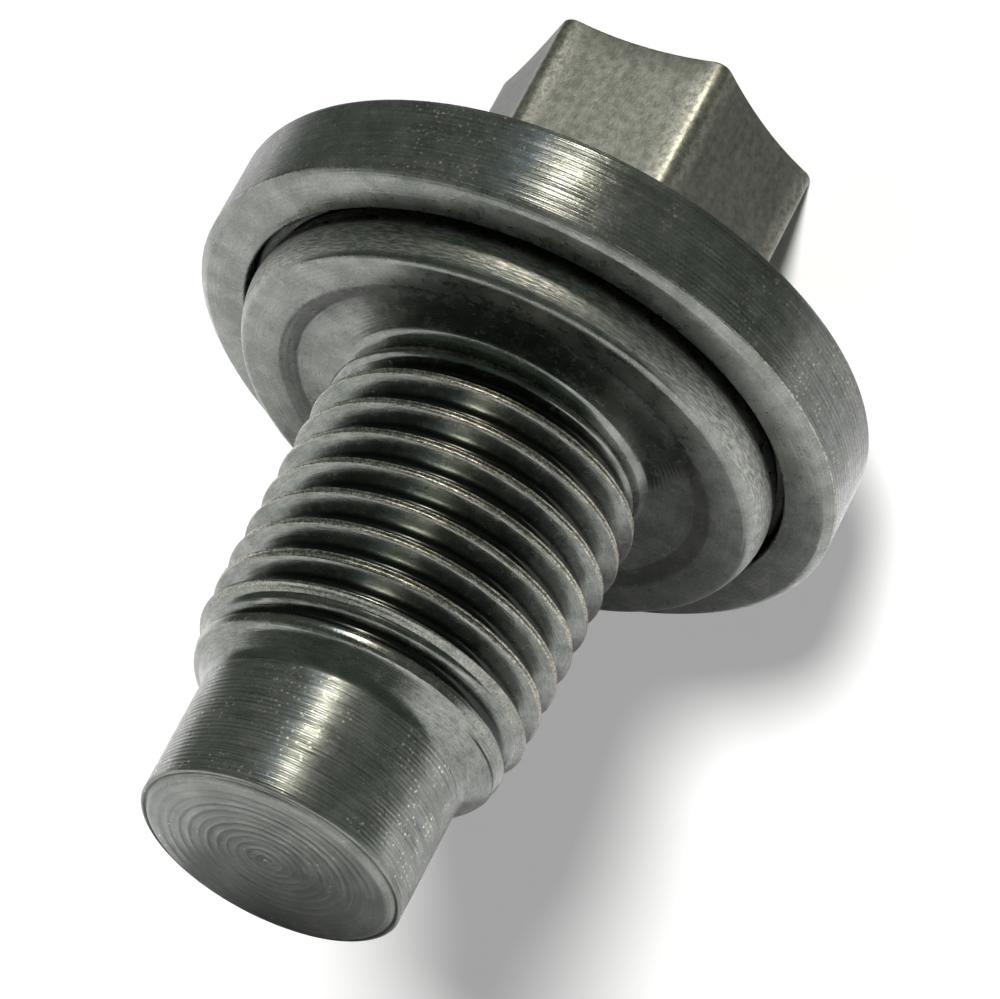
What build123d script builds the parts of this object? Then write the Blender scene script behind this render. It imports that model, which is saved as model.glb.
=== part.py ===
from build123d import *
from math import atan2, degrees, hypot, radians, tan
import os

os.makedirs("parts", exist_ok=True)

# Oil drain plug for an engine sump: one forged, turned and rolled steel piece.
# Millimetres, +Z up. The plug stands on the end of its hexagon head with the
# pilot upwards, and the origin is at the middle of the head's end.

# Hexagon head. Its end is dished, so it stands on its six corners.
HEAD_FLATS = 12.1
HEAD_HEIGHT = 10.8
HEAD_CORNER_ROUND = 0.65
HEAD_ROOT_FILLET = 0.6
DISH_RADIUS = 17.0
DISH_RIM_RADIUS = 6.9

# Sealing ring on the flange: it bellies out over the groove around it, has a
# flat seat face, and a bevel leads down inside it.
RING_RADIUS = 11.1
RING_BELLY = 0.35
BELLY_BOTTOM_RISE = 0.17
BELLY_TOP_RISE = 1.12
SEAT_RISE = 1.9
SEAT_INSET = 0.15
SEAT_WIDTH = 1.53
BEVEL_WIDTH = 0.77
BEVEL_DEPTH = 0.28

# Flange: a groove and a flat land around the ring, and a chamfered rim.
FLANGE_THICKNESS = 3.88
GROOVE_WIDTH = 0.68
GROOVE_DEPTH = 0.88
LAND_WIDTH = 2.12
RIM_CHAMFER_RADIAL = 0.42
RIM_CHAMFER_AXIAL = 0.35
BACK_EDGE_BREAK = 0.15

# Neck between the floor of the ring and the thread.
NECK_UNDERCUT = 0.57
NECK_ROOT_SLOPE = 0.4
NECK_LENGTH = 0.6
NECK_TAPER_LENGTH = 0.9

# Thread M14 x 1.5, right hand. The groove runs out over a quarter turn at the
# neck and again just below the flare.
THREAD_PITCH = 1.5
THREAD_LENGTH = 12.7
THREAD_MAJOR_RADIUS = 6.87
THREAD_DEPTH = 0.91
CREST_WIDTH = 0.24
FLANK_HALF_ANGLE = 30
GROOVE_OVERRUN = 0.12
GROOVE_START_RISE = 0.475
GROOVE_START_AZIMUTH = 270
GROOVE_END_SETBACK = 0.333
RUNOUT_TURN = 90
RUNOUT_LIFT = 1.0

# Pilot point ahead of the thread, with the flare that leads up to the thread.
FLARE_LENGTH = 0.95
PILOT_RADIUS = 5.5
PILOT_LENGTH = 5.72
TIP_CHAMFER_RADIAL = 0.54
TIP_CHAMFER_AXIAL = 0.27

# Azimuth of the half-plane that holds the turned section, clear of both ends
# of the thread.
SECTION_AZIMUTH = 200

# Radii and heights that follow from the sizes above.
neck_radius = THREAD_MAJOR_RADIUS - NECK_UNDERCUT
thread_root_radius = THREAD_MAJOR_RADIUS - THREAD_DEPTH
groove_radius = RING_RADIUS + GROOVE_WIDTH
flange_radius = groove_radius + LAND_WIDTH
seat_outer_radius = RING_RADIUS - SEAT_INSET
seat_inner_radius = seat_outer_radius - SEAT_WIDTH
land_height = HEAD_HEIGHT + FLANGE_THICKNESS
seat_height = land_height + SEAT_RISE
ring_floor = seat_height - BEVEL_DEPTH
neck_end = ring_floor + NECK_LENGTH
thread_bottom = neck_end + NECK_TAPER_LENGTH
thread_top = thread_bottom + THREAD_LENGTH
pilot_bottom = thread_top + FLARE_LENGTH
pilot_top = pilot_bottom + PILOT_LENGTH
tip_height = pilot_top + TIP_CHAMFER_AXIAL
groove_start = neck_end + GROOVE_START_RISE
groove_rise = thread_top - GROOVE_END_SETBACK - groove_start


def turned_body():
    """Flange, sealing ring, shank blank and pilot as one solid of revolution."""
    with BuildPart() as turned:
        with BuildSketch(Plane.XZ.rotated((0, 0, SECTION_AZIMUTH))):
            with BuildLine():
                Polyline(
                    (0, HEAD_HEIGHT),
                    (flange_radius - BACK_EDGE_BREAK, HEAD_HEIGHT),
                    (flange_radius, HEAD_HEIGHT + BACK_EDGE_BREAK),
                    (flange_radius, land_height - RIM_CHAMFER_AXIAL),
                    (flange_radius - RIM_CHAMFER_RADIAL, land_height),
                    (groove_radius, land_height),
                    (groove_radius, land_height - GROOVE_DEPTH),
                    (RING_RADIUS, land_height - GROOVE_DEPTH),
                    (RING_RADIUS + RING_BELLY, land_height + BELLY_BOTTOM_RISE),
                    (RING_RADIUS + RING_BELLY, land_height + BELLY_TOP_RISE),
                    (seat_outer_radius, seat_height),
                    (seat_inner_radius, seat_height),
                    (seat_inner_radius - BEVEL_WIDTH, ring_floor),
                    (neck_radius + NECK_ROOT_SLOPE, ring_floor),
                    (neck_radius, ring_floor + NECK_ROOT_SLOPE),
                    (neck_radius, neck_end),
                    (THREAD_MAJOR_RADIUS, thread_bottom),
                    (THREAD_MAJOR_RADIUS, thread_top),
                    (PILOT_RADIUS, pilot_bottom),
                    (PILOT_RADIUS, pilot_top),
                    (PILOT_RADIUS - TIP_CHAMFER_RADIAL, tip_height),
                    (0, tip_height),
                    close=True,
                )
            make_face()
        revolve(axis=Axis.Z)
    return turned.part


def hexagon_head():
    """Hexagon with rounded corners and a dished end."""
    dish_depth = DISH_RIM_RADIUS**2 / (2 * DISH_RADIUS)
    with BuildPart() as head:
        with BuildSketch():
            RegularPolygon(HEAD_FLATS / 2, 6, major_radius=False)
            fillet(vertices(), HEAD_CORNER_ROUND)
        extrude(amount=HEAD_HEIGHT)
        with Locations((0, 0, dish_depth - DISH_RADIUS)):
            Sphere(DISH_RADIUS, rotation=(90, 0, 0), mode=Mode.SUBTRACT)
    return head.part


def thread_groove(lift):
    """Section of the thread groove in the XZ plane, raised by lift."""
    slope = tan(radians(FLANK_HALF_ANGLE))
    half_width = (THREAD_PITCH - CREST_WIDTH) / 2
    outer = THREAD_MAJOR_RADIUS + GROOVE_OVERRUN + lift
    half_outer = half_width + GROOVE_OVERRUN * slope
    root = thread_root_radius + lift
    half_root = half_width - THREAD_DEPTH * slope
    with BuildSketch(Plane.XZ) as groove:
        with BuildLine():
            Polyline(
                (root, half_root),
                (outer, half_outer),
                (outer, -half_outer),
                (root, -half_root),
                close=True,
            )
        make_face()
    return groove.sketch


def full_groove(length):
    """Cutter for the full-depth thread, starting on the +X side."""
    with BuildPart() as cutter:
        add(thread_groove(0))
        sweep(path=Helix(THREAD_PITCH, length, THREAD_MAJOR_RADIUS), is_frenet=True)
    return cutter.part


def run_out():
    """Cutter that sinks to full depth over RUNOUT_TURN and ends on the +X side."""
    rise = THREAD_PITCH * RUNOUT_TURN / 360
    path = Helix(
        hypot(rise, RUNOUT_LIFT) * 360 / RUNOUT_TURN,
        rise,
        THREAD_MAJOR_RADIUS + RUNOUT_LIFT,
        cone_angle=-degrees(atan2(RUNOUT_LIFT, rise)),
    )
    with BuildPart() as cutter:
        add(thread_groove(RUNOUT_LIFT))
        sweep(path=path, is_frenet=True)
    return Pos(0, 0, -rise) * Rot(0, 0, -RUNOUT_TURN) * cutter.part


def thread_cutters():
    """The full-depth groove and its run-outs at the neck and at the flare."""
    start = Pos(0, 0, groove_start) * Rot(0, 0, GROOVE_START_AZIMUTH)
    end = start * Pos(0, 0, groove_rise) * Rot(0, 0, 360 * groove_rise / THREAD_PITCH)
    turned_over = Rot(180, 0, 0)
    return (
        start * full_groove(groove_rise),
        start * run_out(),
        end * turned_over * run_out(),
    )


def at_head_root(edge):
    """True for the edges where the hexagon meets the flange, not for the flange's own."""
    return edge.bounding_box().size.X < flange_radius


blank = turned_body()
head = hexagon_head()
grooves = thread_cutters()

with BuildPart() as drain_plug:
    add(blank)
    add(head)
    root_edges = drain_plug.edges().filter_by_position(Axis.Z, HEAD_HEIGHT, HEAD_HEIGHT)
    fillet(root_edges.filter_by(at_head_root), HEAD_ROOT_FILLET)
    for groove in grooves:
        add(groove, mode=Mode.SUBTRACT)

drain_plug.part.label = "drain_plug"
drain_plug.part.color = Color(0.16, 0.17, 0.16)
export_step(drain_plug.part, "parts/drain_plug.step")
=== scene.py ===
from math import atan2, cos, degrees, pi, radians, sin, sqrt

import bpy
from mathutils import Matrix, Vector, noise


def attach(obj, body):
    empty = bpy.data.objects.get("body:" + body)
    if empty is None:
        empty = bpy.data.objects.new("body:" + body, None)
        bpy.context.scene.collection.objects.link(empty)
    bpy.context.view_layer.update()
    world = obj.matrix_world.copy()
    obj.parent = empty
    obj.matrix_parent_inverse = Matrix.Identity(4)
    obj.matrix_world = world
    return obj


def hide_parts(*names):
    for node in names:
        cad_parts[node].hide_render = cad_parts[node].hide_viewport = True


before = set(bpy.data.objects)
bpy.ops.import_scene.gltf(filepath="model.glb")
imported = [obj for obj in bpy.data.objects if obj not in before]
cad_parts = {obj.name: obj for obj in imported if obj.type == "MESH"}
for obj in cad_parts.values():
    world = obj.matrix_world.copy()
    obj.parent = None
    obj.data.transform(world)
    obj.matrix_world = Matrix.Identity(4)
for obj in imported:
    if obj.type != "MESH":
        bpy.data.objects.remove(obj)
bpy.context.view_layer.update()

# Sizes are in millimetres until the mesh is made, and azimuths in degrees.
MM = 0.001

# Columns of the mesh run from the middle of the head's end to the middle of the
# tip. Each hexagon side has the same columns, gathered towards the corners.
HEX_SIDES = 6
COLUMNS_PER_HALF_SIDE = 18
COLUMN_GATHER = 1.5

# Hexagon head with a dished end. Shares are of the way from the axis to the edge.
HEAD_APOTHEM = 6.05
HEAD_CORNER_ROUND = 0.65
HEAD_HEIGHT = 10.8
HEAD_ROOT_FILLET = 0.6
HEAD_FILLET_STEPS = 6
HEAD_END_ROUND = 0.12
HEAD_END_STEPS = 4
HEAD_END_SHARES = (0.12, 0.25, 0.4, 0.55, 0.7, 0.82, 0.92)
FLATS_HEIGHTS = (1.6, 3.5, 5.5, 7.5, 9.0, HEAD_HEIGHT - HEAD_ROOT_FILLET)
DISH_RADIUS = 17.0
DISH_RIM_RADIUS = 6.9

# Flange, with the groove and the sealing ring on its face. Its edges are pairs:
# insets from the rim and rises over the back or the chamfer, or steps outwards
# from the land's edge and rises over the land.
FLANGE_RADIUS = 13.9
LAND_HEIGHT = 14.68
RIM_CHAMFER_RADIAL = 0.42
RIM_CHAMFER_AXIAL = 0.35
RIM_LINES = 14
BACK_FACE_SHARES = (0.25, 0.5, 0.75)
BACK_EDGE_ROUND = 0.15
BACK_EDGE = ((0.16, 0.0), (0.05, 0.04))
CHAMFER_EDGE = (0.03, 0.04)
LAND_EDGE = ((0.05, -0.03), (-0.03, 0.0))
GROOVE_RADIUS = 11.78
GROOVE_FLOOR = 13.8
GROOVE_LIP_ROUND = 0.12
GROOVE_LIP_STEPS = 3
GROOVE_FLOOR_ROUND = 0.2
GROOVE_FLOOR_STEPS = 2
RING_RADIUS = 11.1
RING_FOOT_GAP = 0.1
BELLY_FOOT = (RING_RADIUS + 0.02, GROOVE_FLOOR + 0.08)
BELLY_RADIUS = 11.47
BELLY_HEIGHT = 15.2
SHOULDER_RADIUS = 11.1
SHOULDER_HEIGHT = 16.4
SEAT_HEIGHT = 16.58
SEAT_OUTER_RADIUS = 10.93
SEAT_INNER_RADIUS = 9.42
BEVEL_INNER_RADIUS = 8.65
RING_FLOOR = 16.3
RING_FLOOR_MIDDLE = 7.7
BELLY_STEPS = 12

# Neck, thread and flare. Turns are degrees along the groove from its start.
NECK_RADIUS = 6.3
NECK_FILLET = 0.45
NECK_FILLET_STEPS = 5
NECK_END = 16.9
TAPER_END = 17.8
THREAD_PITCH = 1.5
THREAD_MAJOR_RADIUS = 6.87
THREAD_ROOT_RADIUS = 5.96
THREAD_ZONE_BOTTOM = 16.85
THREAD_ZONE_TOP = 31.9
SPARE_PITCHES = 4
GROOVE_START = 17.375
GROOVE_START_AZIMUTH = 270
GROOVE_FULL_TURN = 3030
RUNOUT_TURN = 90
RUNOUT_LIFT = 1.0
ROOT_HALF_WIDTH = 0.16
ROOT_SAG = 0.05
HEAD_SIDE_HALF_WIDTH = 0.6
TIP_SIDE_HALF_WIDTH = 0.62
SHOULDER_POWER = 1.05

# Distances from the groove's middle, along the axis, of the mesh rows in one
# pitch. They lie closest together around the crest.
THREAD_ROWS = (
    0.0, 0.09, ROOT_HALF_WIDTH, 0.31, 0.46, 0.58, 0.61, 0.64, 0.665, 0.69, 0.72,
    0.75, 0.785, 0.81, 0.845, 0.865, 0.89, 0.94, 1.04, 1.16, 1.28, 1.4,
)

# Burrs on a crest: distance from its middle, half width and height. They grow
# with the crest's radius, are ragged along it, and are lost in the run-outs.
FINE_BURR = (-0.085, 0.035, 0.025)
ROUGH_BURR = (0.06, 0.055, 0.02)
BURR_GROWTH = (THREAD_MAJOR_RADIUS - 0.4, THREAD_MAJOR_RADIUS - 0.1)
BURR_RAGGEDNESS = 0.5
BURR_NOISE_AROUND = 7
BURR_NOISE_ALONG = 0.7
BURR_OVERHANG = 0.1
BURR_LOSS_IN_RUNOUT = 3

# The shank's blank narrows to the pilot in a cone, and the last crest stands on
# that cone, lower and lower, with a short slope on its tip side.
BLANK_PROFILE = ((30.55, 6.42), (31.58, 5.58), (31.85, 5.5))
CREST_RADIUS_BY_TURN = (
    (2400, 6.87), (2700, 6.82), (2892, 6.54), (2990, 6.46), (3070, 6.36), (3200, 5.95),
)
CREST_FADE_BY_TURN = ((3110, 1.0), (3200, 0.0))
CREST_SLOPE = ((0.58, 1.0), (0.94, 0.0))

# Pilot and tip. The edge of the tip is given as insets from the pilot's radius
# and rises over its top, and has a fine groove left by facing.
PILOT_RADIUS = 5.5
PILOT_BOTTOM = THREAD_ZONE_TOP + 0.05
PILOT_TOP = 37.17
PILOT_LINES = 15
TIP_HEIGHT = 37.44
TIP_FACE_RADIUS = 4.96
TIP_FACE_EDGE = (0.1, 0.04)
TIP_RINGS = 17
TIP_EDGE = ((0.02, 0.03), (0.08, 0.08), (0.14, 0.09), (0.19, -0.03), (0.29, 0.13))

# Lines of the turning tool, uneven in depth from line to line. Each turned
# stretch has its own lines, because they start at a number of its own.
TURNED_LINE_DEPTH = 0.006
LINE_UNEVENNESS = 0.6
LINE_NOISE_STEP = 1.7
LINE_NOISE_PLACE = 3.1
FIRST_RIM_LINE = 0
FIRST_PILOT_LINE = 100
FIRST_TIP_RING = 200

# Camera: place in metres, viewing angles in degrees, lens and sensor in
# millimetres. The roll lays the plug across the picture, tip at the lower left.
CAMERA_PLACE = (0.198354, 0.034995, 0.130069)
CAMERA_AZIMUTH = 10.4
CAMERA_ELEVATION = 28.926
CAMERA_ROLL = 207.848
CAMERA_LENS = 208.85
CAMERA_SENSOR = 36.0
CAMERA_CLIP_START = 0.01

# Studio, in metres, with directions as azimuth and elevation. The card is the
# plane that the photographed plug lies on, and faces the plug.
FLOOR_HALF_SIZE = 1.5
FLOOR_COLOUR = (0.9, 0.9, 0.9, 1)
CARD_FACING = (34.6, -20.8)
CARD_DISTANCE = 0.0187
CARD_HALF_SIZE = 0.4
CARD_COLOUR = (0.87, 0.865, 0.885, 1)
LAMP_SIDE = (29.0, -23.5)
LAMP_SIZE = 0.07
WINDOW_SIDE = (42.6, -28.9)
KEY_SIDE = (19, 24)
OVERHEAD_SIDE = (120, 80)
ROOM = (0.105, 0.135, 0.11, 1)
ROOM_FILL = (0.05, 0.05, 0.05, 1)
BACKDROP = (1.0, 1.0, 1.0, 1)


def column_azimuths():
    """Azimuths of the mesh columns, in radians, closest together at the hexagon's corners."""
    side = 2 * pi / HEX_SIDES
    steps = COLUMNS_PER_HALF_SIDE
    half = [side / 2 * (i / steps) ** COLUMN_GATHER for i in range(steps)]
    one_side = half + [side / 2] + [side - a for a in reversed(half[1:])]
    return [side * k + a for k in range(HEX_SIDES) for a in one_side]


AZIMUTHS = column_azimuths()
COLUMNS = len(AZIMUTHS)


def hexagon_radius(azimuth, grow):
    """Radius of the rounded hexagon's outline, moved outwards by grow."""
    side = 2 * pi / HEX_SIDES
    off_corner = abs((azimuth + side / 2) % side - side / 2)
    apothem = HEAD_APOTHEM + grow
    rounding = HEAD_CORNER_ROUND + grow
    centre = (apothem - rounding) / cos(side / 2)
    tangent = atan2(rounding * sin(side / 2), centre + rounding * cos(side / 2))
    if off_corner > tangent:
        return apothem / cos(side / 2 - off_corner)
    return centre * cos(off_corner) + sqrt(rounding**2 - (centre * sin(off_corner)) ** 2)


def dish_height(radius):
    """Height of the dished end, which meets the standing plane near the corners."""
    sphere_centre = DISH_RIM_RADIUS**2 / (2 * DISH_RADIUS) - DISH_RADIUS
    return max(sphere_centre + sqrt(DISH_RADIUS**2 - radius**2), 0.0)


def point(radius, azimuth, height):
    return (radius * cos(azimuth), radius * sin(azimuth), height)


def circle_row(radius, height):
    return [point(radius, a, height) for a in AZIMUTHS]


def arc_rows(centre, radius, start, end, steps):
    """Rows along an arc in the radius and height plane, from start to end in degrees."""
    angles = [radians(start + (end - start) * i / steps) for i in range(steps + 1)]
    return [circle_row(centre[0] + radius * cos(a), centre[1] + radius * sin(a)) for a in angles]


def three_point_rows(first, middle, last, steps):
    """Rows along the quadratic curve through three points of the section."""
    rows = []
    for i in range(steps + 1):
        t = i / steps
        weights = (2 * (t - 0.5) * (t - 1), 4 * t * (1 - t), 2 * t * (t - 0.5))
        ends = zip(weights, (first, middle, last))
        radius, height = (sum(parts) for parts in zip(*((w * p[0], w * p[1]) for w, p in ends)))
        rows.append(circle_row(radius, height))
    return rows


def line_depth(index):
    """Depth of one turned line, uneven from line to line."""
    uneven = noise.noise(Vector((index * LINE_NOISE_STEP, LINE_NOISE_PLACE, 0.0)))
    return TURNED_LINE_DEPTH * (1 + LINE_UNEVENNESS * uneven)


def lined_offsets(count, first):
    """Shares of the way along a turned stretch, each with the depth of its line, 0 between lines."""
    steps = 2 * count
    return [(i / steps, line_depth(first + i) if i % 2 else 0.0) for i in range(steps + 1)]


def head_end_point(azimuth, radius, rise=0.0):
    return point(radius, azimuth, dish_height(radius) + rise)


def head_rows():
    """Dished end, rounded edge, flats and root fillet of the hexagon."""
    rows = []
    for share in HEAD_END_SHARES:
        rows.append([head_end_point(a, share * hexagon_radius(a, 0)) for a in AZIMUTHS])
    for i in range(HEAD_END_STEPS + 1):
        turn = radians(90 * i / HEAD_END_STEPS)
        inset = HEAD_END_ROUND * (1 - sin(turn))
        rise = HEAD_END_ROUND * (1 - cos(turn))
        rows.append([head_end_point(a, hexagon_radius(a, -inset), rise) for a in AZIMUTHS])
    for height in FLATS_HEIGHTS:
        rows.append([point(hexagon_radius(a, 0), a, height) for a in AZIMUTHS])
    for i in range(1, HEAD_FILLET_STEPS + 1):
        turn = radians(90 * i / HEAD_FILLET_STEPS)
        grow = HEAD_ROOT_FILLET * (1 - cos(turn))
        height = HEAD_HEIGHT - HEAD_ROOT_FILLET * (1 - sin(turn))
        rows.append([point(hexagon_radius(a, grow), a, height) for a in AZIMUTHS])
    return rows


def back_face_point(azimuth, share):
    """Point of the flange's back, at this share of the way from the head's fillet to the edge."""
    inner = hexagon_radius(azimuth, HEAD_ROOT_FILLET)
    outer = FLANGE_RADIUS - BACK_EDGE[0][0]
    return point(inner + (outer - inner) * share, azimuth, HEAD_HEIGHT)


def flange_rows():
    """Back face and turned rim of the flange."""
    rows = [[back_face_point(a, share) for a in AZIMUTHS] for share in BACK_FACE_SHARES]
    rows += [circle_row(FLANGE_RADIUS - inset, HEAD_HEIGHT + rise) for inset, rise in BACK_EDGE]
    bottom = HEAD_HEIGHT + BACK_EDGE_ROUND
    top = LAND_HEIGHT - RIM_CHAMFER_AXIAL
    for share, sink in lined_offsets(RIM_LINES, FIRST_RIM_LINE):
        rows.append(circle_row(FLANGE_RADIUS - sink, bottom + (top - bottom) * share))
    inset, rise = CHAMFER_EDGE
    rows.append(circle_row(FLANGE_RADIUS - inset, top + rise))
    return rows


def land_rows():
    """Chamfer, land and the groove around the ring."""
    outer = FLANGE_RADIUS - RIM_CHAMFER_RADIAL
    lip = (GROOVE_RADIUS + GROOVE_LIP_ROUND, LAND_HEIGHT - GROOVE_LIP_ROUND)
    foot = (GROOVE_RADIUS - GROOVE_FLOOR_ROUND, GROOVE_FLOOR + GROOVE_FLOOR_ROUND)
    rows = [circle_row(outer + outwards, LAND_HEIGHT + rise) for outwards, rise in LAND_EDGE]
    rows.append(circle_row((outer + GROOVE_RADIUS) / 2, LAND_HEIGHT))
    rows += arc_rows(lip, GROOVE_LIP_ROUND, 90, 180, GROOVE_LIP_STEPS)
    rows.append(circle_row(GROOVE_RADIUS, foot[1]))
    rows += arc_rows(foot, GROOVE_FLOOR_ROUND, -30, -90, GROOVE_FLOOR_STEPS)
    rows.append(circle_row(RING_RADIUS + RING_FOOT_GAP, GROOVE_FLOOR))
    return rows


def ring_rows():
    """Sealing ring: belly, shoulder, seat, bevel and floor, with a small round on each edge."""
    middle = (BELLY_RADIUS, BELLY_HEIGHT)
    shoulder = (SHOULDER_RADIUS + 0.02, SHOULDER_HEIGHT)
    rows = three_point_rows(BELLY_FOOT, middle, shoulder, BELLY_STEPS)
    section = (
        (SHOULDER_RADIUS - 0.04, SEAT_HEIGHT - 0.08),
        (SEAT_OUTER_RADIUS, SEAT_HEIGHT - 0.01),
        (SEAT_OUTER_RADIUS - 0.15, SEAT_HEIGHT),
        ((SEAT_OUTER_RADIUS + SEAT_INNER_RADIUS) / 2, SEAT_HEIGHT),
        (SEAT_INNER_RADIUS + 0.12, SEAT_HEIGHT),
        (SEAT_INNER_RADIUS - 0.02, SEAT_HEIGHT - 0.03),
        (BEVEL_INNER_RADIUS + 0.06, RING_FLOOR + 0.05),
        (BEVEL_INNER_RADIUS - 0.08, RING_FLOOR),
        (RING_FLOOR_MIDDLE, RING_FLOOR),
    )
    rows += [circle_row(radius, height) for radius, height in section]
    fillet_centre = (NECK_RADIUS + NECK_FILLET, RING_FLOOR + NECK_FILLET)
    rows += arc_rows(fillet_centre, NECK_FILLET, -90, -180, NECK_FILLET_STEPS)
    return rows


def between(table, value):
    """Value of a table of points at value, straight from point to point."""
    if value <= table[0][0]:
        return table[0][1]
    for (low, first), (high, last) in zip(table, table[1:]):
        if value <= high:
            return first + (last - first) * (value - low) / (high - low)
    return table[-1][1]


def share_of_way(value, low, high):
    """How far value is on the way from low to high, from 0 to 1."""
    return min(max((value - low) / (high - low), 0.0), 1.0)


def smooth_step(value, low, high):
    """The same share, with a smooth start and end."""
    share = share_of_way(value, low, high)
    return share * share * (3 - 2 * share)


def neck_radius(height):
    """Radius that the neck and its taper leave at this height."""
    share = share_of_way(height, NECK_END, TAPER_END)
    return NECK_RADIUS + (THREAD_MAJOR_RADIUS - NECK_RADIUS) * share


def crest_rise(blank, turn, offset):
    """How far the crest on the tip side of the groove at this turn stands above the blank."""
    rise = max(between(CREST_RADIUS_BY_TURN, turn) - blank, 0.0)
    return rise * between(CREST_FADE_BY_TURN, turn) * between(CREST_SLOPE, offset)


def uncut_radius(height, offset, turn):
    """Radius of the shank before the groove is taken from it."""
    blank = between(BLANK_PROFILE, height)
    this_crest = crest_rise(blank, turn, offset)
    crest_before = crest_rise(blank, turn - 360, offset + THREAD_PITCH)
    return min(blank + max(this_crest, crest_before), neck_radius(height))


def groove_profile(offset):
    """Radius of the full-depth thread at this distance from the groove's middle, along the axis."""
    across = abs(offset)
    if across <= ROOT_HALF_WIDTH:
        return THREAD_ROOT_RADIUS + ROOT_SAG * (across / ROOT_HALF_WIDTH) ** 2
    half_width = HEAD_SIDE_HALF_WIDTH if offset > 0 else TIP_SIDE_HALF_WIDTH
    share = min((across - ROOT_HALF_WIDTH) / (half_width - ROOT_HALF_WIDTH), 1.0)
    if offset < 0:
        share = 1 - (1 - share) ** SHOULDER_POWER
    foot = THREAD_ROOT_RADIUS + ROOT_SAG
    return foot + (THREAD_MAJOR_RADIUS - foot) * share


def groove_lift(turn):
    """How far the groove is lifted out of full depth at this turn."""
    before = max(-turn, 0.0)
    after = max(turn - GROOVE_FULL_TURN, 0.0)
    return RUNOUT_LIFT * (before + after) / RUNOUT_TURN


def crest_burrs(offset, azimuth, height):
    """The two burrs that rolling leaves on a crest: a fine one, and a rough one on its tip side."""
    across = offset - THREAD_PITCH / 2 if offset > 0 else offset + THREAD_PITCH / 2
    around = (BURR_NOISE_AROUND * cos(azimuth), BURR_NOISE_AROUND * sin(azimuth))
    total = 0.0
    for middle, half_width, rise in (FINE_BURR, ROUGH_BURR):
        beside = (across - middle) / half_width
        uneven = noise.noise(Vector((*around, height * BURR_NOISE_ALONG + middle)))
        total += rise * (1 + BURR_RAGGEDNESS * uneven) * max(1 - beside * beside, 0.0)
    return total


def thread_radius(azimuth, height, offset, turn):
    """Radius of the threaded shank, cut by the groove, with burrs on its crests."""
    lift = groove_lift(turn)
    uncut = uncut_radius(height, offset, turn)
    cut = groove_profile(offset) + lift
    radius = min(uncut, cut)
    if cut > uncut - BURR_OVERHANG:
        grown = smooth_step(uncut, *BURR_GROWTH) * max(1 - BURR_LOSS_IN_RUNOUT * lift, 0.0)
        radius += grown * crest_burrs(offset, azimuth, height)
    return radius


def thread_offsets():
    """Distances from the groove's middle at which the rows of one pitch lie."""
    half = THREAD_PITCH / 2
    return sorted(v if v < half else v - THREAD_PITCH for v in THREAD_ROWS)


class Surface:
    """Collects points and faces of one closed mesh, row by row, from head to tip."""

    def __init__(self):
        self.points = []
        self.faces = []
        self.materials = []

    def add_row(self, row):
        start = len(self.points)
        self.points += row
        return [start + i for i in range(len(row))]

    def add_face(self, corners, material):
        kept = [c for i, c in enumerate(corners) if c != corners[i - 1]]
        if len(set(kept)) > 2:
            self.faces.append(kept)
            self.materials.append(material)

    def bridge(self, lower, upper, material):
        for i in range(COLUMNS):
            k = (i + 1) % COLUMNS
            self.add_face((lower[i], lower[k], upper[k], upper[i]), material)

    def cap(self, row, centre, material, upwards):
        middle = self.add_row([centre])[0]
        for i in range(COLUMNS):
            k = (i + 1) % COLUMNS
            ends = (row[i], row[k]) if upwards else (row[k], row[i])
            self.add_face((*ends, middle), material)

    def add_rows(self, below, rows, material):
        """Adds rows on top of the row below and returns the last one."""
        for row in rows:
            indices = self.add_row(row)
            if below is not None:
                self.bridge(below, indices, material)
            below = indices
        return below

    def add_thread(self, below, material):
        """Adds the thread on top of the row below, in rows that follow the helix.

        The rows start and end outside the zone, where they fall together on the
        rows below and above it.
        """
        above = self.add_row(circle_row(PILOT_RADIUS, THREAD_ZONE_TOP))
        offsets = thread_offsets()
        per_pitch = len(offsets)
        pitches = int((THREAD_ZONE_TOP - THREAD_ZONE_BOTTOM) / THREAD_PITCH) + SPARE_PITCHES
        index = {}
        for i, azimuth in enumerate(AZIMUTHS):
            for j in range(pitches * per_pitch):
                index[i, j] = self.thread_point(i, j, azimuth, offsets, below, above)
        for i in range(COLUMNS):
            k = (i + 1) % COLUMNS
            shift = per_pitch if k == 0 else 0
            for j in range((pitches - 1) * per_pitch - 1):
                quad = (index[i, j], index[k, j + shift], index[k, j + shift + 1], index[i, j + 1])
                self.add_face(quad, material)
        return above

    def thread_point(self, i, j, azimuth, offsets, below, above):
        """Index of the point in column i and helix row j."""
        whole, part = divmod(j, len(offsets))
        offset = offsets[part]
        start_azimuth = radians(GROOVE_START_AZIMUTH)
        turn = degrees(azimuth - start_azimuth) + 360 * (whole - 1)
        height = GROOVE_START + THREAD_PITCH * turn / 360 + offset
        if height <= THREAD_ZONE_BOTTOM:
            return below[i]
        if height >= THREAD_ZONE_TOP:
            return above[i]
        radius = thread_radius(azimuth, height, offset, turn)
        return self.add_row([point(radius, azimuth, height)])[0]


def pilot_rows():
    """Pilot wall with its turned lines."""
    length = PILOT_TOP - PILOT_BOTTOM
    rows = []
    for share, sink in lined_offsets(PILOT_LINES, FIRST_PILOT_LINE):
        rows.append(circle_row(PILOT_RADIUS - sink, PILOT_BOTTOM + length * share))
    return rows


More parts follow.
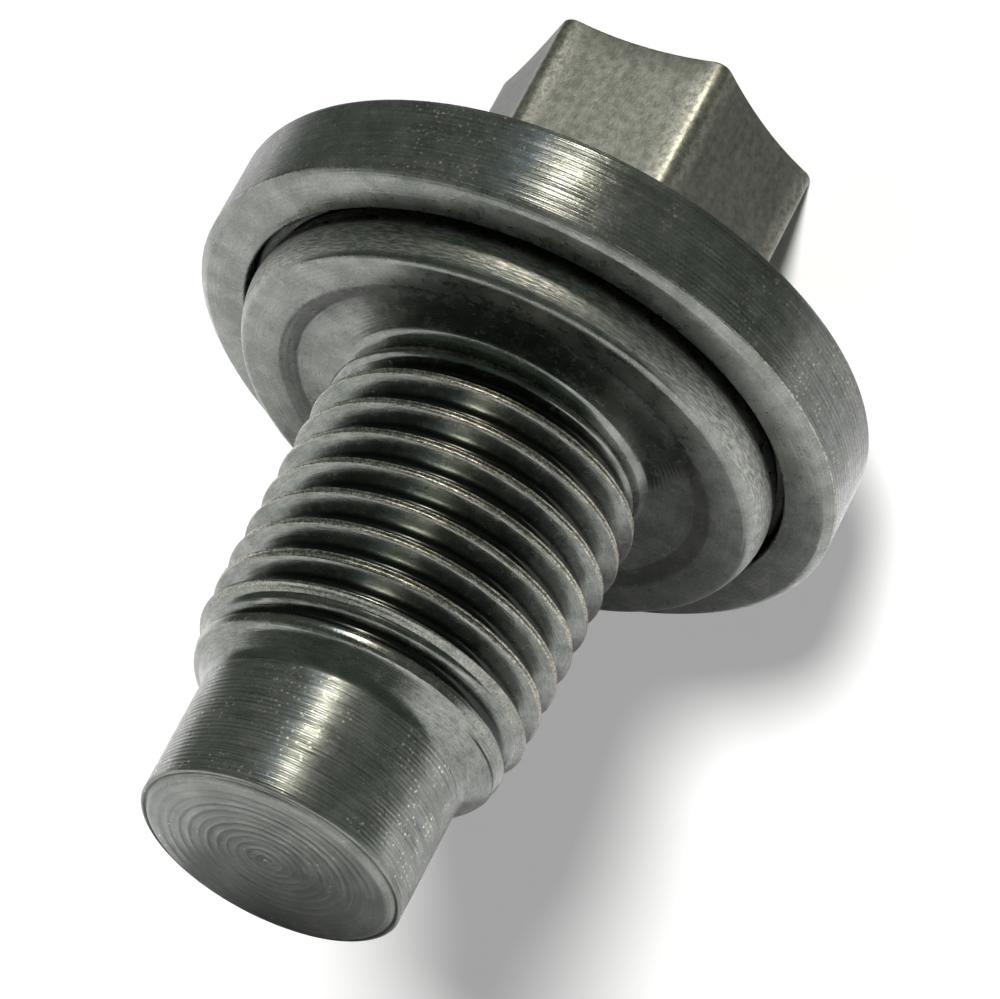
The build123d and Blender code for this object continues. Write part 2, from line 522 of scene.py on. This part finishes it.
def tip_rows():
    """Edge of the tip and its end, with the tool's rings."""
    rows = [circle_row(PILOT_RADIUS - inset, PILOT_TOP + rise) for inset, rise in TIP_EDGE]
    outwards, drop = TIP_FACE_EDGE
    rows.append(circle_row(TIP_FACE_RADIUS + outwards, TIP_HEIGHT - drop))
    for share, sink in lined_offsets(TIP_RINGS, FIRST_TIP_RING)[:-2]:
        rows.append(circle_row(TIP_FACE_RADIUS * (1 - share), TIP_HEIGHT - sink))
    return rows


# Places of the five materials in the mesh.
HEAD, RIM, FACE, THREAD, TIP = range(5)


def plug_mesh():
    """The whole plug as one closed mesh, from the middle of the head's end to the middle of the tip."""
    surface = Surface()
    head = surface.add_rows(None, head_rows(), HEAD)
    surface.cap(range(COLUMNS), (0.0, 0.0, dish_height(0.0)), HEAD, False)
    rim = surface.add_rows(head, flange_rows(), RIM)
    neck = surface.add_rows(rim, land_rows() + ring_rows(), FACE)
    flare = surface.add_thread(neck, THREAD)
    edge = surface.add_rows(flare, pilot_rows(), RIM)
    tip = surface.add_rows(edge, tip_rows(), TIP)
    surface.cap(tip, (0.0, 0.0, TIP_HEIGHT), TIP, True)
    mesh = bpy.data.meshes.new("drain_plug_finish")
    mesh.from_pydata([(x * MM, y * MM, z * MM) for x, y, z in surface.points], [], surface.faces)
    mesh.polygons.foreach_set("material_index", surface.materials)
    mesh.polygons.foreach_set("use_smooth", [True] * len(surface.faces))
    mesh.update()
    return mesh


# Colours of the oxide, and of the steel where it is bare.
OXIDE_DARK = (0.115, 0.13, 0.11, 1)
OXIDE_LIGHT = (0.25, 0.26, 0.238, 1)
# Near-black for painted shade in hollows, grooves, the crease and the pit, and for the flange's darker
# oxide tone.
DARK_OXIDE_AND_SHADE = (0.025, 0.027, 0.023, 1)
HEAD_DARK = (0.08, 0.082, 0.066, 1)
HEAD_LIGHT = (0.155, 0.155, 0.126, 1)
HEAD_CORNER_PALE = (0.3, 0.295, 0.24, 1)
SPECK_GOLD = (0.8, 0.78, 0.56, 1)
WORN_STEEL = (0.46, 0.45, 0.38, 1)
CREST_DARK = (0.13, 0.128, 0.1, 1)
BELLY_STEEL = (0.4, 0.4, 0.36, 1)

# Where the looks change. Each pair is the start and the end of a soft edge.
PILOT_TO_FLANGE = (8.0, 9.0)
RIM_EDGE_HEIGHTS = (LAND_HEIGHT - 0.4, LAND_HEIGHT - 0.3)
RIM_POLISHED_TURNS = (0.09, 0.15)
BELLY_INSIDE = (11.12, 11.25)
BELLY_OUTSIDE = (11.55, 11.65)
BELLY_ROUGH_FROM = (LAND_HEIGHT + 0.2, LAND_HEIGHT + 0.5)
SEAT_INSIDE = (9.4, 9.6)
# The ring's inner bevel, which takes painted shade.
BEVEL_SHADE_INSIDE = (8.6, 8.7)
BEVEL_SHADE_OUTSIDE = (9.35, 9.42)
# The groove around the ring, which takes painted shade.
GROOVE_OUTSIDE = (11.85, 11.95)
GROOVE_SHADE_HEIGHTS = (LAND_HEIGHT - 0.25, LAND_HEIGHT - 0.08)
HEX_CORNER_SIXTHS = (0.05, 0.16)
HEX_CORNER_RADII = (6.1, 6.4)
# The fine groove at the tip's edge, which takes painted shade.
TIP_GROOVE_SHADE_RADIUS = 5.3
TIP_GROOVE_SHADE_SIDES = (0.03, 0.07)

# The same for the thread. Heights are taken back along the helix to azimuth 0,
# and the middle of the first crest is at FIRST_CREST there.
FIRST_CREST = 16.99
CREST_SIDES = (0.12, 0.17)
CREST_RADII = (6.3, 6.4)
CREST_END = (30.68, 30.78)
CREST_LESS_WORN = (28.4, 29.0)
# Roots of the groove, which take painted shade.
ROOT_SHADE_RADII = (6.05, 6.3)
ROOT_SHADE_END = (30.1, 30.4)
# The crease and the pit, which take painted shade.
CREASE_HEIGHT = 30.91
CREASE_SIDES = (0.02, 0.05)
CREASE_START_TURNS = (-0.25, -0.22)
CREASE_END_TURNS = (-0.12, -0.09)
PIT_SHADE_PLACE = (3.45, -5.3, 29.62)
PIT_SHADE_RADIUS = 0.3
PIT_CORE_SHARE = 0.3

# Spacing and slant of the turning tool's lines, the skin's grain, and the cells
# that have one golden grain each at most.
TOOL_PITCH = 0.2
TOOL_DRIFT = 0.6
FINE_LINE_SIZE = 0.05
TIP_SPIRAL_PITCH = 0.42
TIP_DRIFT = 0.5
SKIN_GRAIN_SIZE = 0.09
SKIN_GRAIN_DEPTH = 0.004
GOLD_CELLS_PER_MM = 6.5


class Graph:
    """Short names for the shader nodes of one material or world."""

    def __init__(self, owner):
        owner.use_nodes = True
        self.owner = owner
        self.tree = owner.node_tree
        self.tree.nodes.clear()

    def node(self, kind, inputs=(), **settings):
        made = self.tree.nodes.new("ShaderNode" + kind)
        for key, value in settings.items():
            setattr(made, key, value)
        for key, value in dict(inputs).items():
            if isinstance(value, bpy.types.NodeSocket):
                self.tree.links.new(value, made.inputs[key])
            else:
                made.inputs[key].default_value = value
        return made

    def math(self, operation, *values):
        return self.node("Math", enumerate(values), operation=operation).outputs[0]

    def product(self, first, *others):
        for factor in others:
            first = self.math("MULTIPLY", first, factor)
        return first

    def scale(self, value, low, high, to_low=0.0, to_high=1.0):
        """Maps low..high to to_low..to_high with smooth ends."""
        inputs = {
            "Value": value,
            "From Min": low,
            "From Max": high,
            "To Min": to_low,
            "To Max": to_high,
        }
        return self.node("MapRange", inputs, interpolation_type="SMOOTHSTEP").outputs[0]

    def fall(self, value, start, end):
        """1 up to start and 0 from end on, with a smooth fall between them."""
        return self.scale(value, start, end, 1.0, 0.0)

    def noise(self, vector, size, detail=3.0, roughness=0.6):
        """Noise with features of this size, in millimetres when vector is in millimetres."""
        inputs = {"Vector": vector, "Scale": 1 / size, "Detail": detail, "Roughness": roughness}
        return self.node("TexNoise", inputs).outputs["Fac"]

    def blotches(self, vector, size, contrast, to=(0.0, 1.0), **grain):
        """Noise with the stretch of its values in contrast spread over to."""
        return self.scale(self.noise(vector, size, **grain), *contrast, *to)

    def vector(self, x, y, z):
        return self.node("CombineXYZ", {0: x, 1: y, 2: z}).outputs[0]

    def mix(self, share, first, second):
        made = self.node("Mix", {0: share, 6: first, 7: second}, data_type="RGBA")
        return made.outputs[2]

    def bump(self, height, depth, over=None):
        """Bump of this depth in millimetres, over the bump that is given."""
        inputs = {"Height": height, "Distance": depth * MM, "Strength": 1.0}
        if over is not None:
            inputs["Normal"] = over
        return self.node("Bump", inputs).outputs[0]


class Place:
    """Where a point of the plug is, in millimetres and turns, as shader sockets."""

    def __init__(self, graph):
        coordinates = graph.node("TexCoord").outputs["Object"]
        scaled = graph.node("VectorMath", {0: coordinates, "Scale": 1 / MM}, operation="SCALE")
        self.vector = scaled.outputs[0]
        parts = graph.node("SeparateXYZ", {0: self.vector})
        self.x, self.y, self.z = (parts.outputs[i] for i in range(3))
        x_squared = graph.product(self.x, self.x)
        y_squared = graph.product(self.y, self.y)
        self.radius = graph.math("SQRT", graph.math("ADD", x_squared, y_squared))
        self.turn = graph.math("DIVIDE", graph.math("ARCTAN2", self.y, self.x), 2 * pi)


def new_finish(name):
    """Node graph of a new material, and the place of its points."""
    graph = Graph(bpy.data.materials.new(name))
    return graph, Place(graph)


def oxide_colour(graph, place, golden=0.0):
    """Uneven black oxide with a fine grain; golden is the share of cells with a bare grain."""
    cloud = graph.blotches(place.vector, 1.3, contrast=(0.35, 0.68), detail=4.0)
    grain = graph.blotches(place.vector, 0.08, contrast=(0.36, 0.64), roughness=0.8)
    share = graph.math("ADD", graph.product(cloud, 0.55), graph.product(grain, 0.45))
    coat = graph.mix(share, OXIDE_DARK, OXIDE_LIGHT)
    if not golden:
        return coat
    patch = graph.blotches(place.vector, 2.2, contrast=(0.4, 0.6), detail=2.0)
    cells = graph.node("TexVoronoi", {"Vector": place.vector, "Scale": GOLD_CELLS_PER_MM}).outputs
    drawn = graph.node("SeparateXYZ", {0: cells["Color"]}).outputs
    chosen = graph.math("LESS_THAN", drawn[0], golden)
    brightness = graph.scale(drawn[1], 0.0, 1.0, 0.2, 1.0)
    speck = graph.product(graph.fall(cells["Distance"], 0.1, 0.5), graph.product(chosen, brightness))
    return graph.mix(graph.product(speck, patch), coat, SPECK_GOLD)


def darkened(graph, colour, share):
    """The colour, turned this far towards a near-black: painted shade in the groove, bevel, roots,
    crease, pit and tip groove, and a darker oxide tone on the flange.
    """
    return graph.mix(share, colour, DARK_OXIDE_AND_SHADE)


def shade_line_valleys(graph, colour, lines, depth):
    """Painted shade: darkens the colour in the valleys of the tool lines, or of the thread's streaks,
    by up to this share.
    """
    share = graph.scale(lines, 0.34, 0.6, 1 - depth, 1.0)
    return graph.node("VectorMath", {0: colour, "Scale": share}, operation="SCALE").outputs[0]


def finish(graph, colour, roughness, normal, metal=0.82, turned=0.0):
    """Metal under a thin oxide; turned is how far lines around the axis spread its reflections."""
    shader = graph.node("BsdfPrincipled", {
        "Base Color": colour,
        "Metallic": metal,
        "Roughness": roughness,
        "Anisotropic": turned,
        "Anisotropic Rotation": 0.25,
        "Normal": normal,
    })
    if turned:
        around = graph.node("Tangent", direction_type="RADIAL", axis="Z").outputs[0]
        graph.tree.links.new(around, shader.inputs["Tangent"])
    graph.node("OutputMaterial", {"Surface": shader.outputs[0]})
    return graph.owner


def skin(graph, place):
    """Fine grain of the oxide skin."""
    return graph.bump(graph.noise(place.vector, SKIN_GRAIN_SIZE, detail=2.0), SKIN_GRAIN_DEPTH)


def tool_lines(graph, along, drift, pitch):
    """Lines of a turning tool, 0 in the valleys and 1 on the ridges, uneven from line to line."""
    wander = graph.noise(graph.vector(along, drift, 0.0), 5 * pitch, detail=2.0)
    phase = graph.math("MULTIPLY_ADD", along, 2 * pi / pitch, graph.product(wander, 6.0))
    wave = graph.math("MULTIPLY_ADD", graph.math("SINE", phase), 0.5, 0.5)
    uneven = graph.noise(graph.vector(along, drift, 9.0), 2 * pitch, detail=1.0)
    return graph.product(wave, graph.scale(uneven, 0.3, 0.65, 0.55, 1.0))


def along_section(graph, place):
    """Distance along the turned section, up its walls and inwards along its faces."""
    return graph.math("SUBTRACT", place.z, place.radius)


def turned_marks(graph, place, along):
    """The turning tool's lines, and the finer lines over them."""
    drift = graph.product(place.turn, TOOL_DRIFT)
    lines = tool_lines(graph, along, drift, TOOL_PITCH)
    fine = graph.noise(graph.vector(along, drift, 7.0), FINE_LINE_SIZE, detail=2.0)
    return lines, fine


def rim_material():
    """Turned rim and pilot: circular tool lines under the oxide, with painted shade in their valleys.
    """
    graph, place = new_finish("oxide_turned_rim")
    lines, fine = turned_marks(graph, place, along_section(graph, place))
    flange = graph.scale(place.radius, *PILOT_TO_FLANGE)
    polished = graph.product(flange, graph.scale(place.turn, *RIM_POLISHED_TURNS, 0.0, 0.88))
    lines = graph.product(lines, graph.math("SUBTRACT", 1.0, polished))
    normal = graph.bump(fine, 0.011, over=graph.bump(lines, 0.026, over=skin(graph, place)))
    roughness = graph.blotches(place.vector, 0.5, contrast=(0.3, 0.7), to=(0.27, 0.36))
    roughness = graph.math("SUBTRACT", roughness, graph.product(flange, 0.05))
    colour = shade_line_valleys(graph, oxide_colour(graph, place, golden=0.35), fine, 0.45)
    colour = darkened(graph, colour, graph.product(flange, 0.2))
    edge = graph.product(flange, graph.scale(place.z, *RIM_EDGE_HEIGHTS))
    chips = graph.blotches(place.vector, 0.14, contrast=(0.42, 0.6), to=(0.1, 0.9), roughness=0.7)
    colour = graph.mix(graph.product(edge, chips), colour, WORN_STEEL)
    return finish(graph, colour, roughness, normal, turned=0.6)


def face_material():
    """Land and sealing ring: finely turned, rough and streaked on the belly, with painted shade in the
    groove, on the ring's inner bevel and in the valleys of its fine lines.
    """
    graph, place = new_finish("oxide_turned_face")
    along = along_section(graph, place)
    lines, fine = turned_marks(graph, place, along)
    belly = graph.product(
        graph.scale(place.radius, *BELLY_INSIDE),
        graph.fall(place.radius, *BELLY_OUTSIDE),
        graph.scale(place.z, *BELLY_ROUGH_FROM),
    )
    drawn_out = graph.vector(along, graph.product(place.turn, 14.0), 3.0)
    grain = graph.noise(drawn_out, 0.1, roughness=0.7)
    normal = graph.bump(lines, 0.003, over=graph.bump(graph.product(grain, belly), 0.03))
    roughness = graph.blotches(place.vector, 0.5, contrast=(0.3, 0.7), to=(0.26, 0.34))
    floor = graph.fall(place.radius, *SEAT_INSIDE)
    roughness = graph.math("MULTIPLY_ADD", floor, -0.05, roughness)
    roughness = graph.math("MULTIPLY_ADD", belly, 0.14, roughness)
    colour = shade_line_valleys(graph, oxide_colour(graph, place), fine, 0.15)
    bare = graph.product(belly, graph.scale(grain, 0.42, 0.62, 0.0, 0.8))
    colour = graph.mix(bare, colour, BELLY_STEEL)
    # Painted shade on the ring's inner bevel.
    bevel = graph.product(
        graph.scale(place.radius, *BEVEL_SHADE_INSIDE),
        graph.fall(place.radius, *BEVEL_SHADE_OUTSIDE),
    )
    colour = darkened(graph, colour, graph.product(bevel, 0.38))
    # Painted shade in the groove around the ring.
    groove = graph.product(
        graph.fall(place.z, *GROOVE_SHADE_HEIGHTS),
        graph.fall(place.radius, *GROOVE_OUTSIDE),
    )
    colour = darkened(graph, colour, groove)
    return finish(graph, colour, roughness, normal, metal=0.95, turned=0.4)


def near(graph, place, spot, radius):
    """1 at the core of a spot, falling to 0 at this distance from its middle."""
    apart = graph.node("VectorMath", {0: place.vector, 1: spot}, operation="DISTANCE")
    return graph.fall(apart.outputs["Value"], PIT_CORE_SHARE * radius, radius)


def crest_band(graph, place, helix):
    """1 along the thread's crests, less on the last of them, and 0 beside them."""
    half = THREAD_PITCH / 2
    across = graph.math("WRAP", graph.math("SUBTRACT", helix, FIRST_CREST), half, -half)
    return graph.product(
        graph.fall(graph.math("ABSOLUTE", across), *CREST_SIDES),
        graph.scale(place.radius, *CREST_RADII),
        graph.fall(helix, *CREST_END),
        graph.scale(helix, *CREST_LESS_WORN, 1.0, 0.28),
    )


def crease_shade_band(graph, place, helix):
    """1 along the one crease at the foot of the flare, and 0 beside it; it carries painted shade."""
    across = graph.math("ABSOLUTE", graph.math("SUBTRACT", helix, CREASE_HEIGHT))
    return graph.product(
        graph.fall(across, *CREASE_SIDES),
        graph.scale(place.turn, *CREASE_START_TURNS),
        graph.fall(place.turn, *CREASE_END_TURNS),
    )


def thread_material():
    """Rolled thread: dark flanks, with painted shade in the valleys of its streaks and in the roots,
    crests worn bright and rough, and a crease and a pit painted dark as shade.
    """
    graph, place = new_finish("oxide_rolled_thread")
    helix = graph.math("SUBTRACT", place.z, graph.product(place.turn, THREAD_PITCH))
    drawn_out = graph.vector(helix, place.radius, graph.product(place.turn, 5.0))
    streaks = graph.noise(drawn_out, 0.08, detail=2.0)
    crest = crest_band(graph, place, helix)
    granular = graph.noise(place.vector, 0.11, detail=2.0, roughness=0.7)
    normal = graph.bump(graph.product(granular, crest), 0.03, over=graph.bump(streaks, 0.004))
    patches = graph.noise(place.vector, 0.5)
    bare = graph.product(
        graph.scale(granular, 0.4, 0.58),
        graph.scale(patches, 0.3, 0.6, 0.4, 1.0),
    )
    worn = graph.mix(bare, CREST_DARK, WORN_STEEL)
    coat = shade_line_valleys(graph, oxide_colour(graph, place), streaks, 0.3)
    # Painted shade in the roots of the groove.
    root = graph.product(
        graph.fall(place.radius, *ROOT_SHADE_RADII),
        graph.fall(helix, *ROOT_SHADE_END),
    )
    colour = graph.mix(crest, darkened(graph, coat, root), worn)
    # Painted shade along the crease and in the pit.
    colour = darkened(graph, colour, crease_shade_band(graph, place, helix))
    colour = darkened(graph, colour, near(graph, place, PIT_SHADE_PLACE, PIT_SHADE_RADIUS))
    roughness = graph.scale(patches, 0.3, 0.7, 0.22, 0.28)
    roughness = graph.math("MULTIPLY_ADD", crest, 0.06, roughness)
    return finish(graph, colour, roughness, normal, metal=0.95)


def tip_material():
    """Faced end: rings that wind slowly outwards from the middle, with painted shade in the valleys of
    its fine lines and in the fine groove at the edge.
    """
    graph, place = new_finish("oxide_faced_tip")
    winding = graph.product(place.turn, TIP_SPIRAL_PITCH)
    spiral = graph.math("SUBTRACT", place.radius, winding)
    drift = graph.product(place.turn, TIP_DRIFT)
    lines = graph.math("POWER", tool_lines(graph, spiral, drift, TIP_SPIRAL_PITCH), 2.0)
    fine = graph.noise(graph.vector(spiral, drift, 5.0), 0.07, detail=2.0)
    normal = graph.bump(fine, 0.01, over=graph.bump(lines, 0.022, over=skin(graph, place)))
    colour = shade_line_valleys(graph, oxide_colour(graph, place, golden=0.06), fine, 0.25)
    # Painted shade in the fine groove at the tip's edge.
    beside = graph.math("SUBTRACT", place.radius, TIP_GROOVE_SHADE_RADIUS)
    groove = graph.scale(graph.math("ABSOLUTE", beside), *TIP_GROOVE_SHADE_SIDES, 0.7, 0.0)
    return finish(graph, darkened(graph, colour, groove), 0.32, normal, turned=0.4)


def head_material():
    """Forged head: mottled oxide, drawn out along the flats, and paler in blotches at the corners."""
    graph, place = new_finish("oxide_forged_head")
    drawn_out = graph.vector(place.x, place.y, graph.product(place.z, 0.12))
    streaks = graph.noise(drawn_out, 0.3)
    mottle = graph.noise(place.vector, 0.38, detail=4.0, roughness=0.7)
    uneven = graph.math("ADD", graph.product(streaks, 0.25), graph.product(mottle, 0.75))
    normal = graph.bump(uneven, 0.01, over=skin(graph, place))
    coat = graph.mix(graph.scale(uneven, 0.32, 0.68), HEAD_DARK, HEAD_LIGHT)
    sixths = graph.product(place.turn, HEX_SIDES)
    from_corner = graph.math("ABSOLUTE", graph.math("WRAP", sixths, 0.5, -0.5))
    # Paler colour in blotches near the hexagon's corners.
    pale_corners = graph.product(
        graph.blotches(place.vector, 0.25, contrast=(0.35, 0.65), to=(0.1, 0.8), roughness=0.7),
        graph.fall(from_corner, *HEX_CORNER_SIXTHS),
        graph.scale(place.radius, *HEX_CORNER_RADII),
    )
    return finish(graph, graph.mix(pale_corners, coat, HEAD_CORNER_PALE), 0.4, normal)


def plug_finish():
    """The plug with its five materials, in the order of their places in the mesh."""
    piece = bpy.data.objects.new("drain_plug_finish", plug_mesh())
    bpy.context.scene.collection.objects.link(piece)
    makers = (head_material, rim_material, face_material, thread_material, tip_material)
    for make_material in makers:
        piece.data.materials.append(make_material())
    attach(piece, "root")
    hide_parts("drain_plug")


def direction(azimuth, elevation):
    """Unit vector towards this azimuth and elevation, in degrees."""
    level = cos(radians(elevation))
    azimuth = radians(azimuth)
    return Vector((level * cos(azimuth), level * sin(azimuth), sin(radians(elevation))))


def add_camera():
    camera = bpy.data.objects.new("camera", bpy.data.cameras.new("camera"))
    bpy.context.scene.collection.objects.link(camera)
    camera.data.sensor_fit = "HORIZONTAL"
    camera.data.sensor_width = CAMERA_SENSOR
    camera.data.lens = CAMERA_LENS
    camera.data.clip_start = CAMERA_CLIP_START
    azimuth = radians(CAMERA_AZIMUTH)
    roll = radians(CAMERA_ROLL)
    backward = direction(CAMERA_AZIMUTH, CAMERA_ELEVATION)
    level = Vector((-sin(azimuth), cos(azimuth), 0.0))
    upright = backward.cross(level)
    right = level * cos(roll) + upright * sin(roll)
    up = backward.cross(right)
    axes = Matrix((right, up, backward)).transposed()
    camera.matrix_world = Matrix.Translation(CAMERA_PLACE) @ axes.to_4x4()
    bpy.context.scene.camera = camera


def add_card(name, corners, colour):
    """Flat diffuse card that belongs to the studio, not to the plug."""
    mesh = bpy.data.meshes.new(name)
    mesh.from_pydata(corners, [], [(0, 1, 2, 3)])
    card = bpy.data.objects.new(name, mesh)
    bpy.context.scene.collection.objects.link(card)
    graph = Graph(bpy.data.materials.new(name))
    shader = graph.node("BsdfDiffuse", {"Color": colour})
    graph.node("OutputMaterial", {"Surface": shader.outputs[0]})
    mesh.materials.append(graph.owner)
    return card


def square(middle, across, along, half):
    """Corners of a square around middle, with its sides along two unit vectors."""
    signs = ((-1, -1), (1, -1), (1, 1), (-1, 1))
    return [middle + across * (half * a) + along * (half * b) for a, b in signs]


def add_floor():
    """Pale floor that the plug stands on."""
    corners = square(Vector((0, 0, 0)), Vector((1, 0, 0)), Vector((0, 1, 0)), FLOOR_HALF_SIZE)
    floor = add_card("floor", corners, FLOOR_COLOUR)
    floor.visible_glossy = False
    floor.visible_shadow = False
    return floor


def add_reflector():
    """White card close beside the plug, which only the plug's reflections see."""
    facing = direction(*CARD_FACING)
    across = facing.orthogonal().normalized()
    along = facing.cross(across)
    corners = square(facing * -CARD_DISTANCE, across, along, CARD_HALF_SIZE)
    card = add_card("reflector", corners, CARD_COLOUR)
    card.visible_camera = False
    card.visible_diffuse = False
    card.visible_shadow = False


def add_world():
    """Studio surroundings: a dim room around the card, and white behind the floor."""
    world = bpy.data.worlds.new("studio")
    bpy.context.scene.world = world
    world.cycles.sampling_method = "NONE"
    graph = Graph(world)
    path = graph.node("LightPath").outputs
    colour = graph.mix(path["Is Glossy Ray"], ROOM_FILL, ROOM)
    colour = graph.mix(path["Is Camera Ray"], colour, BACKDROP)
    background = graph.node("Background", {"Color": colour, "Strength": 1.0})
    graph.node("OutputWorld", {"Surface": background.outputs[0]})


def add_light(name, side, distance, size, power, colour=(1.0, 1.0, 1.0)):
    """Round soft light at this distance from the plug's foot, which it faces."""
    light = bpy.data.lights.new(name, "AREA")
    light.shape = "DISK"
    light.size = size
    light.energy = power
    light.color = colour
    holder = bpy.data.objects.new(name, light)
    bpy.context.scene.collection.objects.link(holder)
    towards = direction(*side)
    holder.location = towards * distance
    holder.rotation_euler = (-towards).to_track_quat("-Z", "Y").to_euler()
    return holder


def shine_only_on(holder, target):
    """Keeps a light to one object, and out of reflections."""
    receivers = bpy.data.collections.new(holder.name + "_receivers")
    receivers.objects.link(target)
    holder.light_linking.receiver_collection = receivers
    holder.visible_glossy = False


def add_floor_lights(floor):
    """Key light and overhead light for the floor and the plug's shadow on it."""
    key = add_light("key", KEY_SIDE, 1.0, size=0.12, power=26.0, colour=(1.0, 0.99, 0.97))
    overhead = add_light("overhead", OVERHEAD_SIDE, 1.2, size=1.2, power=6.5)
    for holder in (key, overhead):
        shine_only_on(holder, floor)


def add_plug_lights():
    """Lamp that the card faces, and a weak cool window.

    The lamp is two lights in one place. The card light is what the card and the
    plug get from it, and the glint is its image in the plug's reflections.
    """
    card_light = add_light("card_light", LAMP_SIDE, 1.0, LAMP_SIZE, power=10.0)
    card_light.visible_glossy = False
    glint = add_light("glint", LAMP_SIDE, 1.0, LAMP_SIZE, power=8.0, colour=(1.0, 0.93, 0.84))
    glint.visible_diffuse = False
    window = add_light("window", WINDOW_SIDE, 1.0, size=0.05, power=0.5, colour=(0.3, 0.55, 1.0))
    window.visible_diffuse = False


add_camera()
plug_finish()
floor = add_floor()
add_reflector()
add_world()
add_floor_lights(floor)
add_plug_lights()
bpy.context.scene.view_settings.view_transform = "Standard"
